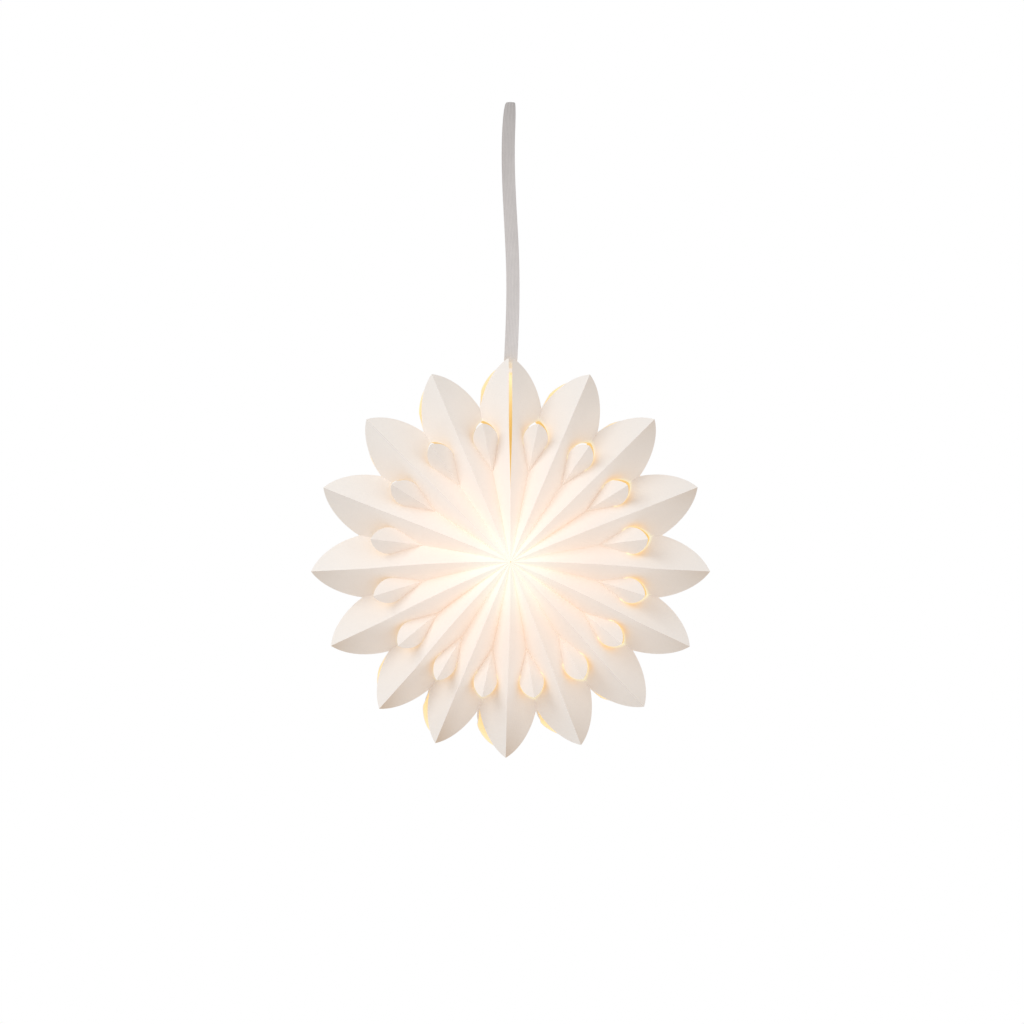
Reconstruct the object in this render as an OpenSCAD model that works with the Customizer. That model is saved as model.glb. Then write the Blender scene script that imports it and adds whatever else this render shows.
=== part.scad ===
// A sixteen-petal folded paper star that hangs by a ribbon loop and is lit from inside.
// Each front and each back sheet spans one valley, from the ridge of one petal to the
// ridge of the next, and has a drop-shaped tongue cut and folded out of that valley.
// Origin: the top of the ribbon loop. The star's front faces -Y and its axis lies along Y.

/* [Star] */
// Number of petals; one of them points straight up, so the number is even
petal_count = 16; // [14:2:18]
// Distance from the star's axis to a petal's tip
tip_radius = 150; // [140:1:165]
// Distance from the star's axis to the notch between two petals
notch_radius = 117.3; // [112:0.1:122]
// Depth of the star between the front and the back petal tips
tip_depth = 48; // [40:1:56]
// Depth of the star between the two points where all folds meet
hub_depth = 72; // [70:0.5:78]
// How far a petal's edge bulges out from the straight line between notch and tip
petal_bulge = 6.5; // [3:0.5:8]
// Thickness of the paper
paper_thickness = 0.3; // [0.2:0.05:0.5]
// Diameter of the small hole that is left where all folds meet
hub_hole_d = 3; // [2:0.5:6]

/* [Tongues] */
// Distance from the star's axis to a tongue's pointed root
tongue_root_radius = 67.6; // [62:0.1:72]
// Angle between a tongue's crease and the valley's fold line, in the flat sheet
tongue_crease_angle = 33.9; // [29:0.1:36]
// Width of a folded-out tongue at its round end, seen from the front
tongue_width = 18.8; // [14:0.1:20]

/* [Seam] */
// Width of the open seam in the ridge of the top petal
seam_gap = 2.3; // [1:0.1:4]
// Distance from the star's axis at which the seam closes
seam_root_radius = 50; // [40:1:80]
// Distance from the star's axis at which the seam has its full width
seam_full_radius = 108; // [95:1:125]
// Width of the mouth at the petal's tip, where the ribbon goes in
seam_mouth = 6; // [4:0.5:8]
// Length of that mouth
seam_mouth_length = 8; // [5:0.5:12]

/* [Ribbon] */
// Distance from the top of the loop down to the star's axis
hang_height = 351; // [260:1:450]
// Width of the ribbon
ribbon_width = 10; // [7:0.5:12]
// Thickness of the ribbon
ribbon_thickness = 0.5; // [0.3:0.1:1]
// Inner radius of the bend at the top of the loop
loop_radius = 4; // [3:0.5:7]
// Length of each ribbon end that is glued inside the top petal
ribbon_tail = 8; // [6:1:25]

/* [Light unit] */
// Diameter of a battery cell
cell_d = 10.5; // [10:0.1:11]
// Length of a battery cell
cell_length = 44.5; // [43:0.1:45]
// Wall of the cell cradle between two cells
cradle_web = 1; // [0.8:0.1:1.5]
// Wall thickness of the case and of its cover
case_wall = 1.2; // [0.8:0.1:1.3]
// Number of LEDs on the strip round the cells
led_count = 12; // [8:1:16]
// Side of a square LED
led_side = 1.6; // [1.2:0.1:2.2]
// Height of an LED
led_height = 0.6; // [0.4:0.1:0.8]
// Width of the flexible strip that carries the LEDs
strip_width = 8; // [5:0.5:10]
// Thickness of the flexible strip
strip_thickness = 0.2; // [0.1:0.05:0.3]
// Thickness of the driver board
board_thickness = 0.8; // [0.6:0.1:1]
// Thickness of a battery contact plate
contact_thickness = 0.3; // [0.2:0.05:0.4]
// Height of a compressed spring contact
spring_height = 1.7; // [1.2:0.1:2]
// Length of the slide switch's body, along the star's axis
switch_length = 8.5; // [7:0.1:10]
// Width of the slide switch's body
switch_width = 3.6; // [3:0.1:4.5]
// Height of the slide switch's body
switch_height = 3.4; // [2.5:0.1:3.6]
// Travel of the slide switch's slider
switch_travel = 2; // [1.5:0.1:3]
// Width of the slider's knob
slider_width = 1.6; // [1.2:0.1:2]
// Length of the slider's knob
slider_length = 2.4; // [1.8:0.1:3]
// How far the knob stands out of the case
slider_proud = 0.8; // [0.3:0.1:1.5]

/* [Clearances] */
// Running gap between pieces that slide or slip into each other
fit_gap = 0.2; // [0.1:0.05:0.3]
// Gap between the light unit, or the ribbon, and the paper that carries it
seat_gap = 0.1; // [0.05:0.05:0.3]

/* [Hidden] */
$fn = 64;
pitch = 360 / petal_count;
half_pitch = pitch / 2;
tip_half = tip_depth / 2;
hub_half = hub_depth / 2;
// Overlap of folded slabs before they are cut back to their common plane
lap = 1;
// Reach past the tips of the blocks that trim the sheets
trim_reach = 2 * tip_radius;

// The fold line of a valley falls from the hub to the notch at this slope
valley_slope = atan(hub_half / notch_radius);
// The tip of a petal seen from the hub, with X along the valley's plan line
tip_from_hub = [tip_radius * cos(half_pitch), tip_radius * sin(half_pitch), tip_half - hub_half];
// The same tip along the valley's fold line, and its height over that line
tip_u = tip_from_hub[0] * cos(valley_slope) - tip_from_hub[2] * sin(valley_slope);
tip_rise = tip_from_hub[0] * sin(valley_slope) + tip_from_hub[2] * cos(valley_slope);
tip_v = norm([tip_from_hub[1], tip_rise]);
// A wall of the valley is tilted about the fold line by this angle
wall_tilt = atan2(tip_rise, tip_from_hub[1]);
notch_u = norm([notch_radius, hub_half]);

// The bulging petal edge is an arc through the notch and the tip
notch_point = [notch_u, 0];
tip_point = [tip_u, tip_v];
edge_chord = norm(tip_point - notch_point);
edge_along = (tip_point - notch_point) / edge_chord;
edge_out = [edge_along[1], -edge_along[0]];
edge_radius = pow(edge_chord, 2) / (8 * petal_bulge) + petal_bulge / 2;
edge_centre = (notch_point + tip_point) / 2 - (edge_radius - petal_bulge) * edge_out;
ridge_out = [-tip_v, tip_u] / norm(tip_point);

// The tongue's two creases lie in one plane, at this angle over the valley's fold line, and the
// folded-out tongue's middle line rises from the star's plane
root_u = tongue_root_radius / cos(valley_slope);
crease_plane_tilt = atan(tan(tongue_crease_angle) * sin(wall_tilt));
tongue_rise = 2 * crease_plane_tilt - valley_slope;
// Seen from the front, a step along the fold line of the flat sheet moves a point of the tongue
// outwards, and a step off that line moves it outwards and across
along_out = cos(tongue_rise);
off_out = sin(wall_tilt) * (sin(valley_slope)
    - 2 * cos(crease_plane_tilt) * sin(valley_slope - crease_plane_tilt));
off_across = cos(wall_tilt);
crease_spread = atan2(
    off_across * sin(tongue_crease_angle),
    along_out * cos(tongue_crease_angle) + off_out * sin(tongue_crease_angle)
);
// Seen from the front, the tongue's end is an arc that both creases touch
round_r = tongue_width / 2;
round_reach = round_r / sin(crease_spread);
round_steps = 12;
round_end = [
    for (i = [0 : round_steps])
        let (
            turn = (90 + crease_spread) * (1 - i / round_steps),
            off = round_r * sin(turn) / off_across
        )
        [(round_reach + round_r * cos(turn) - off_out * off) / along_out, off]
];
root_point = [tongue_root_radius, 0, hub_half - tongue_root_radius * tan(valley_slope)];

// Depth that the paper takes up behind a valley's fold line, and the tilt of a wall across
// the petal at its ridge
valley_backing = paper_thickness / (cos(wall_tilt) * cos(valley_slope));
wall_normal = [
    sin(valley_slope) * cos(wall_tilt),
    -sin(wall_tilt),
    cos(valley_slope) * cos(wall_tilt)
];
across_petal = [sin(half_pitch), -cos(half_pitch), 0];
cross_slope = -(wall_normal * across_petal) / wall_normal[2];
wall_backing = paper_thickness / wall_normal[2];
ridge_rise = (hub_half - tip_half) / tip_radius;

// The ribbon runs behind the walls of the top petal, its edges on their inner faces
ribbon_depth = tip_half - abs(cross_slope) * ribbon_width / 2 - wall_backing
    - seat_gap - ribbon_thickness / 2;
loop_mid_r = loop_radius + ribbon_thickness / 2;
loop_centre_z = -loop_radius - ribbon_thickness;
strand_foot_z = tip_radius - hang_height;
strand_reach = norm([ribbon_depth, loop_centre_z - strand_foot_z]);
strand_lean = atan(ribbon_depth / (loop_centre_z - strand_foot_z))
    - asin(loop_mid_r / strand_reach);
strand_length = sqrt(pow(strand_reach, 2) - pow(loop_mid_r, 2));
// The bend runs on a little way into each straight strand
bend_end = strand_lean - 3;

// The light unit, from its cells outwards
cell_spacing = cell_d + 2 * fit_gap + cradle_web;
cell_ring_r = cell_spacing / sqrt(3);
cradle_r = cell_ring_r + cell_d / 2;
strip_r = cradle_r + fit_gap;
case_inner_r = strip_r + strip_thickness + led_height + fit_gap;
case_r = case_inner_r + case_wall;
inner_length = board_thickness + contact_thickness + cell_length + spring_height
    + contact_thickness;
light_length = inner_length + 2 * case_wall;
board_top = light_length / 2 - case_wall;
cells_top = board_top - board_thickness - contact_thickness;
cells_foot = cells_top - cell_length;
cover_inner = case_wall - light_length / 2;
cover_ring_depth = spring_height + contact_thickness;
// The case's rims rest on the valleys beside the lowest ridge
rest_radius = (hub_half - valley_backing - seat_gap - light_length / 2) / tan(valley_slope);
light_drop = rest_radius * cos(half_pitch)
    - sqrt(pow(case_r, 2) - pow(rest_radius * sin(half_pitch), 2));
cell_angles = [270, 30, 150];
// The switch sits in the cradle's top lobe, between the two upper cells
switch_top = strip_r + strip_thickness;
switch_middle = strip_width / 2 + fit_gap + switch_length / 2 + switch_travel / 2;
contact_r = 3.6;
contact_bar = 3;
nub_r = 1.8;
chip_side = 3;
chip_height = 0.25;

function two_digits(i) = str(i < 10 ? "0" : "", i);
function fold_name(side, i) = str(side, "_fold_", two_digits(i));
function cell_name(i) = str("battery_", i);

// The star's frame: X to the right, Y up and Z towards the viewer, from the star's axis
module in_star() {
    translate([0, 0, -hang_height])
        rotate([90, 0, 0])
            children();
}

// The light unit's frame: as the star's, from the middle of the unit
module in_light() {
    in_star()
        translate([0, -light_drop, 0])
            children();
}

// One wall between a valley's fold line, along X, and a petal's ridge, laid flat
module wall_outline() {
    polygon([
        [0, -lap],
        [notch_u, -lap],
        notch_point,
        tip_point,
        tip_point + lap * ridge_out,
        lap * ridge_out
    ]);
    intersection() {
        translate(edge_centre)
            circle(r = edge_radius);
        polygon([
            notch_point,
            tip_point,
            tip_point + 2 * petal_bulge * edge_out,
            notch_point + 2 * petal_bulge * edge_out
        ]);
    }
}

// The tongue's outline laid flat, with its straight creases moved out by `grow`
module tongue_outline(grow) {
    crease_end = round_end[0] + grow * [-sin(tongue_crease_angle), cos(tongue_crease_angle)];
    side = concat(
        [[-grow / sin(tongue_crease_angle), 0], crease_end],
        [for (i = [1 : round_steps]) round_end[i]]
    );
    other_side = [for (i = [round_steps : -1 : 1]) [side[i][0], -side[i][1]]];
    translate([root_u, 0])
        polygon(concat(side, other_side));
}

// Tilts a flat outline up to one wall of the valley, from the depth `low` to `high`
module as_wall(low, high) {
    translate([0, 0, hub_half])
        rotate([0, valley_slope, 0])
            rotate([wall_tilt, 0, 0])
                translate([0, 0, low])
                    linear_extrude(high - low)
                        children();
}

// Turns its children over in the plane of the two creases
module folded_out() {
    translate(root_point)
        rotate([0, valley_slope - crease_plane_tilt, 0])
            mirror([0, 0, 1])
                rotate([0, crease_plane_tilt - valley_slope, 0])
                    translate(-root_point)
                        children();
}

// One half of a sheet: its wall with half the hole, and half the tongue
module half_fold() {
    intersection() {
        union() {
            as_wall(-paper_thickness, 0)
                difference() {
                    wall_outline();
                    tongue_outline(-paper_thickness);
                }
            folded_out()
                as_wall(0, paper_thickness)
                    tongue_outline(paper_thickness);
        }
        linear_extrude(hub_depth)
            polygon([
                [0, 0],
                [trim_reach, 0],
                trim_reach * [cos(half_pitch), sin(half_pitch)]
            ]);
    }
}

// The open seam in the ridge of the top petal, which widens to a mouth at the tip
module seam_wedge() {
    side = [
        [seam_full_radius, seam_gap / 2],
        [tip_radius - seam_mouth_length, seam_gap / 2],
        [tip_radius, seam_mouth / 2],
        [tip_radius + lap, seam_mouth / 2]
    ];
    rotate([0, 0, 90])
        linear_extrude(hub_depth)
            polygon(concat(
                [[seam_root_radius, 0]],
                side,
                [for (i = [3 : -1 : 0]) [side[i][0], -side[i][1]]]
            ));
}

// Sheet `i`, counted clockwise from the seam as the viewer sees it
module fold(i) {
    difference() {
        rotate([0, 0, 90 + half_pitch - i * pitch]) {
            half_fold();
            mirror([0, 1, 0])
                half_fold();
        }
        cylinder(h = hub_depth, d = hub_hole_d);
        if (i == 1 || i == petal_count)
            seam_wedge();
    }
}

module front_fold(i) {
    color("ivory")
        in_star()
            fold(i);
}

module back_fold(i) {
    color("antiquewhite")
        in_star()
            mirror([0, 0, 1])
                fold(i);
}

// One strand of the ribbon's edge-on outline, on the side where Y is positive
module ribbon_strand() {
    translate([ribbon_depth, strand_foot_z])
        rotate(strand_lean)
            translate([-ribbon_thickness / 2, 0])
                square([ribbon_thickness, strand_length]);
    translate([ribbon_depth, strand_foot_z])
        rotate(atan(-ridge_rise))
            translate([-ribbon_thickness / 2, -ribbon_tail])
                square([ribbon_thickness, ribbon_tail]);
    translate([ribbon_depth, strand_foot_z])
        circle(d = ribbon_thickness);
}

// The bend over the hook, from the one strand's straight stretch round to the other's
module loop_bend() {
    reach = 2 * loop_mid_r;
    difference() {
        circle(r = loop_radius + ribbon_thickness);
        circle(r = loop_radius);
        polygon([
            [0, 0],
            reach * [cos(bend_end), sin(bend_end)],
            [reach, -2 * reach],
            [-reach, -2 * reach],
            reach * [-cos(bend_end), sin(bend_end)]
        ]);
    }
}

module ribbon_loop() {
    color("lightgray")
        rotate([90, 0, 90])
            linear_extrude(ribbon_width, center = true) {
                translate([0, loop_centre_z])
                    loop_bend();
                ribbon_strand();
                mirror([1, 0])
                    ribbon_strand();
            }
}

// The slot in the case for the switch's knob, and the hole in the cradle for its body
module slider_slot() {
    slot_length = slider_length + switch_travel + 2 * fit_gap;
    slot_width = slider_width + 2 * fit_gap;
    translate([-slot_width / 2, switch_top, switch_middle - slot_length / 2])
        cube([slot_width, case_r, slot_length]);
}

module light_case() {
    color("white", 0.6)
        in_light()
            difference() {
                translate([0, 0, cover_inner])
                    cylinder(h = light_length - case_wall, r = case_r);
                translate([0, 0, cover_inner])
                    cylinder(h = inner_length, r = case_inner_r);
                slider_slot();
            }
}

module battery_cover() {
    color("whitesmoke")
        in_light() {
            translate([0, 0, -light_length / 2])
                cylinder(h = case_wall, r = case_r);
            translate([0, 0, cover_inner])
                difference() {
                    cylinder(h = cover_ring_depth, r = case_inner_r - fit_gap);
                    translate([0, 0, -lap])
                        cylinder(h = cover_ring_depth + 2 * lap, r = cradle_r + fit_gap);
                }
        }
}

module at_cell(i) {
    translate(cell_ring_r * [cos(cell_angles[i]), sin(cell_angles[i]), 0])
        children();
}

module cell_cradle() {
    color("gainsboro")
        in_light()
            difference() {
                translate([0, 0, cells_foot])
                    cylinder(h = cell_length, r = cradle_r);
                for (i = [0 : 2])
                    at_cell(i)
                        translate([0, 0, cells_foot - lap])
                            cylinder(h = cell_length + 2 * lap, r = cell_d / 2 + fit_gap);
                translate([-switch_width / 2, switch_top - switch_height, switch_middle - switch_length / 2])
                    cube([switch_width, switch_height, switch_length]);
            }
}

// A cell stands on its spring contact, its button up or down by turns
module battery(i) {
    button_r = 0.26 * cell_d;
    button_height = 0.8;
    shoulder = cell_length - button_height;
    color("seagreen")
        in_light()
            at_cell(i - 1)
                translate([0, 0, cells_foot])
                    union() {
                        translate([0, 0, i == 2 ? button_height : 0])
                            cylinder(h = shoulder, d = cell_d);
                        cylinder(h = cell_length, r = button_r);
                    }
}

// A flat contact under cell `i`, with a sprung nub towards the cell where `spring` is set
module contact_pad(i, level, spring) {
    at_cell(i) {
        translate([0, 0, level])
            cylinder(h = contact_thickness, r = contact_r);
        if (spring)
            translate([0, 0, level + contact_thickness])
                cylinder(h = spring_height, r1 = contact_r - 1, r2 = nub_r);
    }
}

// The bar that joins the pads of two neighbouring cells
module contact_link(i, j, level) {
    from = cell_ring_r * [cos(cell_angles[i]), sin(cell_angles[i])];
    to = cell_ring_r * [cos(cell_angles[j]), sin(cell_angles[j])];
    translate([from[0], from[1], level])
        rotate(atan2(to[1] - from[1], to[0] - from[0]))
            translate([0, -contact_bar / 2, 0])
                cube([norm(to - from), contact_bar, contact_thickness]);
}

module contacts(cells, level, spring) {
    color("silver")
        in_light() {
            for (i = cells)
                contact_pad(i, level, spring);
            if (len(cells) == 2)
                contact_link(cells[0], cells[1], level);
        }
}

module driver_board() {
    color("darkgreen")
        in_light() {
            translate([0, 0, board_top - board_thickness])
                cylinder(h = board_thickness, r = case_inner_r - fit_gap);
            translate([-chip_side / 2, -chip_side / 2, board_top - board_thickness - chip_height])
                cube([chip_side, chip_side, chip_height]);
        }
}

module led_strip() {
    color("khaki")
        in_light()
            difference() {
                translate([0, 0, -strip_width / 2])
                    cylinder(h = strip_width, r = strip_r + strip_thickness);
                translate([0, 0, -strip_width])
                    cylinder(h = 2 * strip_width, r = strip_r);
            }
}

module leds() {
    color("gold")
        in_light()
            for (i = [0 : led_count - 1])
                rotate((i + 0.5) * 360 / led_count)
                    translate([strip_r + strip_thickness, -led_side / 2, -led_side / 2])
                        cube([led_height, led_side, led_side]);
}

module switch_body() {
    color("dimgray")
        in_light()
            difference() {
                translate([-switch_width / 2, switch_top - switch_height, switch_middle - switch_length / 2])
                    cube([switch_width, switch_height, switch_length]);
                slider_channel(fit_gap, switch_travel);
            }
}

// The slider's root in the switch's body, with `gap` round it and room for `travel`
module slider_channel(gap, travel) {
    root_depth = switch_height / 2;
    translate([
        -slider_width / 2 - gap,
        switch_top - root_depth - gap,
        switch_middle - (slider_length + travel) / 2 - gap
    ])
        cube([slider_width + 2 * gap, root_depth + 2 * gap, slider_length + travel + 2 * gap]);
}

module switch_slider() {
    root_depth = switch_height / 2;
    color("black")
        in_light()
            translate([
                -slider_width / 2,
                switch_top - root_depth,
                switch_middle - (slider_length + switch_travel) / 2
            ])
                cube([slider_width, case_r + slider_proud - switch_top + root_depth, slider_length]);
}

for (i = [1 : petal_count]) {
    front_fold(i);
    back_fold(i);
}
ribbon_loop();
light_case();
battery_cover();
cell_cradle();
for (i = [1 : 3]) {
    battery(i);
}
contacts([0], cells_top, false);  // front_contact_single
contacts([1, 2], cells_top, false);  // front_contact_pair
contacts([2], cover_inner, true);  // rear_contact_single
contacts([0, 1], cover_inner, true);  // rear_contact_pair
driver_board();
led_strip();
leds();
switch_body();
switch_slider();
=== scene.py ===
"""A sixteen-petal folded paper star on a ribbon loop, lit from inside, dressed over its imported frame.

The star's front faces -Y and +Z runs up its ribbon, from the star's axis at hang_height below the
origin to the top of the loop at the origin. All lengths are in metres.
"""
import logging
import math
from dataclasses import dataclass, field
from enum import Enum

import bpy
import numpy as np
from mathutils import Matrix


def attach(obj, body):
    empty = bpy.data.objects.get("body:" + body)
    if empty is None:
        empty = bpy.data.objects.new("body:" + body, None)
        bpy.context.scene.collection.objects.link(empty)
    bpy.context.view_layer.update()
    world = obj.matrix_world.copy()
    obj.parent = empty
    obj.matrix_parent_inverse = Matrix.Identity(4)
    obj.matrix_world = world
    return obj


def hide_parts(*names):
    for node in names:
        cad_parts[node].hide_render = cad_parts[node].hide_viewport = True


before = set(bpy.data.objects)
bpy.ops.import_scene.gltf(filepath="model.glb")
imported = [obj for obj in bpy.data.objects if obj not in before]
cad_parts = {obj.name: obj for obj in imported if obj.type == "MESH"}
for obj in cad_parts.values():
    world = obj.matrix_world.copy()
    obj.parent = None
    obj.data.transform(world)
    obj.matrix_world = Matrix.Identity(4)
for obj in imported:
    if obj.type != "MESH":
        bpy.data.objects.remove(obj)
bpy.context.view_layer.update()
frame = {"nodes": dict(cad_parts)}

log = logging.getLogger("paper_star")
Grid = np.ndarray
Triple = tuple[float, float, float]
LAYERS = ("hole_glow", "hole_edge", "rim_glow", "tip_shade", "ridge", "tongue")


class Body(Enum):
    """The rigid bodies that pieces ride on."""

    STAR = "star"
    SLIDER = "slider"


class Side(Enum):
    """The two halves of the star, as the sign of their depth towards the viewer."""

    FRONT = 1
    BACK = -1

    @property
    def word(self) -> str:
        """Return the side's word in the names of its sheets."""
        return self.name.lower()


# ---------------------------------------------------------------- shader building blocks


class NodeBench:
    """Builds nodes in one node tree with short calls."""

    def __init__(self, tree: bpy.types.NodeTree) -> None:
        """Keep the tree.

        Args:
            tree: The node tree of a material or a node group.
        """
        self.tree = tree

    def add(self, kind: str, *inputs: object, **settings: object) -> bpy.types.Node:
        """Add a node, set its properties and fill its inputs in order.

        Args:
            kind: Blender's name of the node type.
            inputs: A socket to link, a value to set, or None to leave the input alone.
            settings: Properties of the node, such as operation.

        Returns:
            The new node.
        """
        node = self.tree.nodes.new(kind)
        for name, value in settings.items():
            setattr(node, name, value)
        for socket, value in zip(node.inputs, inputs):
            self.feed(socket, value)
        return node

    def feed(self, socket: bpy.types.NodeSocket, value: object) -> None:
        """Link a socket to another one, or set its value.

        Args:
            socket: The input to fill.
            value: An output socket, a plain value, or None to leave the input alone.
        """
        if isinstance(value, bpy.types.NodeSocket):
            self.tree.links.new(value, socket)
        elif value is not None:
            socket.default_value = value

    def fill(self, node: bpy.types.Node, values: dict[str | int, object]) -> bpy.types.Node:
        """Fill the named inputs of a node.

        Args:
            node: The node.
            values: What each input gets, as for feed.

        Returns:
            The node.
        """
        for label, value in values.items():
            self.feed(node.inputs[label], value)
        return node

    def math(self, operation: str, *inputs: object, clamp: bool = False) -> bpy.types.NodeSocket:
        """Return the result of a Math node.

        Args:
            operation: The sum to do.
            inputs: Its operands.
            clamp: Whether the result is held between 0 and 1.
        """
        return self.add("ShaderNodeMath", *inputs, operation=operation, use_clamp=clamp).outputs[0]

    def vector(self, operation: str, *inputs: object) -> bpy.types.Node:
        """Return a Vector Math node.

        Args:
            operation: The sum to do.
            inputs: Its operands.
        """
        return self.add("ShaderNodeVectorMath", *inputs, operation=operation)

    def scale(self, vector: object, factor: object) -> bpy.types.NodeSocket:
        """Return a colour or vector times a number.

        Args:
            vector: The colour or vector.
            factor: The number.
        """
        return self.fill(self.vector("SCALE", vector), {"Scale": factor}).outputs[0]

    def noise(self, place: object, scale: object, detail: float) -> bpy.types.NodeSocket:
        """Return noise less its middle value.

        Args:
            place: Where the noise is looked up.
            scale: How fine it is.
            detail: Its layers of detail.
        """
        node = self.fill(self.add("ShaderNodeTexNoise"),
                         {"Vector": place, "Scale": scale, "Detail": detail})
        return self.math("SUBTRACT", node.outputs[0], 0.5)

    def mix(self, factor: object, first: object, second: object) -> bpy.types.NodeSocket:
        """Return a colour between two colours.

        Args:
            factor: 0 for the first colour and 1 for the second.
            first: A colour or a colour socket.
            second: A colour or a colour socket.
        """
        node = self.add("ShaderNodeMix", data_type="RGBA")
        return self.fill(node, {"Factor": factor, 6: first, 7: second}).outputs[2]

    def ramp(self, value: object, low: float, high: float, start: float,
             end: float) -> bpy.types.NodeSocket:
        """Return a value carried smoothly from one range to another.

        Args:
            value: The number to carry over.
            low: Where the source range starts.
            high: Where the source range ends.
            start: The result at low.
            end: The result at high.
        """
        return self.add("ShaderNodeMapRange", value, low, high, start, end,
                        interpolation_type="SMOOTHSTEP").outputs[0]

    def layer(self, name: str) -> bpy.types.NodeSocket:
        """Return the value of a mesh attribute.

        Args:
            name: The attribute's name.
        """
        return self.add("ShaderNodeAttribute", attribute_name=name).outputs["Fac"]


def new_group(name: str, inputs: dict[str, float | tuple[float, ...]],
              outputs: dict[str, str]) -> tuple[NodeBench, bpy.types.bpy_prop_collection]:
    """Make an empty shader node group with named sockets.

    Args:
        name: The group's name.
        inputs: Default of each input: a number, a vector of three or a colour of four.
        outputs: Float or Color for each output.

    Returns:
        A bench for the group, and the sockets that give its inputs.
    """
    tree = bpy.data.node_groups.new(name, "ShaderNodeTree")
    for label, default in inputs.items():
        kind = "Float" if isinstance(default, float) else {3: "Vector", 4: "Color"}[len(default)]
        socket = tree.interface.new_socket(label, in_out="INPUT", socket_type=f"NodeSocket{kind}")
        socket.default_value = default
    for label, kind in outputs.items():
        tree.interface.new_socket(label, in_out="OUTPUT", socket_type=f"NodeSocket{kind}")
    bench = NodeBench(tree)
    return bench, bench.add("NodeGroupInput").outputs


def grain_group() -> bpy.types.NodeTree:
    """Build the grain that paper, plastic and metal share.

    Soft clouds and fine stretched flecks, both noise over Object coordinates, are added up. Their
    sum, about 0, tints a colour and moves a roughness. The flecks give the height.

    Returns:
        The group, with the inputs Colour, Depth, Roughness, Clouds, Flecks and Stretch, and the
        outputs Colour, Roughness and Height.
    """
    bench, given = new_group(
        "surface_grain",
        {"Colour": (0.8, 0.8, 0.8, 1.0), "Depth": 0.1, "Roughness": 0.5, "Clouds": 40.0,
         "Flecks": 1200.0, "Stretch": (1.0, 1.0, 1.0)},
        {"Colour": "Color", "Roughness": "Float", "Height": "Float"},
    )
    place = bench.add("ShaderNodeTexCoord").outputs["Object"]
    stretched = bench.vector("MULTIPLY", place, given["Stretch"]).outputs[0]
    clouds = bench.noise(place, given["Clouds"], 4.0)
    flecks = bench.noise(stretched, given["Flecks"], 3.0)
    moved = bench.math("MULTIPLY", bench.math("ADD", clouds, flecks), given["Depth"])
    coloured = bench.scale(given["Colour"], bench.math("ADD", moved, 1.0))
    rough = bench.math("ADD", given["Roughness"], moved, clamp=True)
    bench.add("NodeGroupOutput", coloured, rough, bench.math("ADD", flecks, 0.5))
    return bench.tree


def lamp_reach_group() -> bpy.types.NodeTree:
    """Build the light that reaches a sheet of paper from the light unit.

    With Q the vector from the lamp to the point and c the cosine between Q and the outward normal,
    held at 0 from below, the light on the sheet is (soft + (1 - soft) c) times (near distance /
    length of Q) to the falloff. Facing is 1 where the light comes through from behind and -1 where
    it strikes the face itself, and turns c round. Soft is the share that comes from all sides.

    Returns:
        The group, with the inputs Lamp, Facing, Soft, Near and Falloff and the output Light.
    """
    bench, given = new_group(
        "lamp_reach",
        {"Lamp": (0.0, 0.0, 0.0), "Facing": 1.0, "Soft": 0.5, "Near": 0.03, "Falloff": 1.5},
        {"Light": "Float"},
    )
    texture = bench.add("ShaderNodeTexCoord").outputs
    ray = bench.vector("SUBTRACT", texture["Object"], given["Lamp"]).outputs[0]
    length = bench.vector("LENGTH", ray).outputs["Value"]
    towards = bench.vector("NORMALIZE", ray).outputs[0]
    cosine = bench.vector("DOT_PRODUCT", towards, texture["Normal"]).outputs["Value"]
    facing = bench.math("MAXIMUM", bench.math("MULTIPLY", cosine, given["Facing"]), 0.0)
    fade = bench.math("POWER", bench.math("DIVIDE", given["Near"], length), given["Falloff"])
    hard = bench.math("MULTIPLY", facing, bench.math("SUBTRACT", 1.0, given["Soft"]))
    bench.add("NodeGroupOutput", bench.math("MULTIPLY", bench.math("ADD", hard, given["Soft"]), fade))
    return bench.tree


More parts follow.
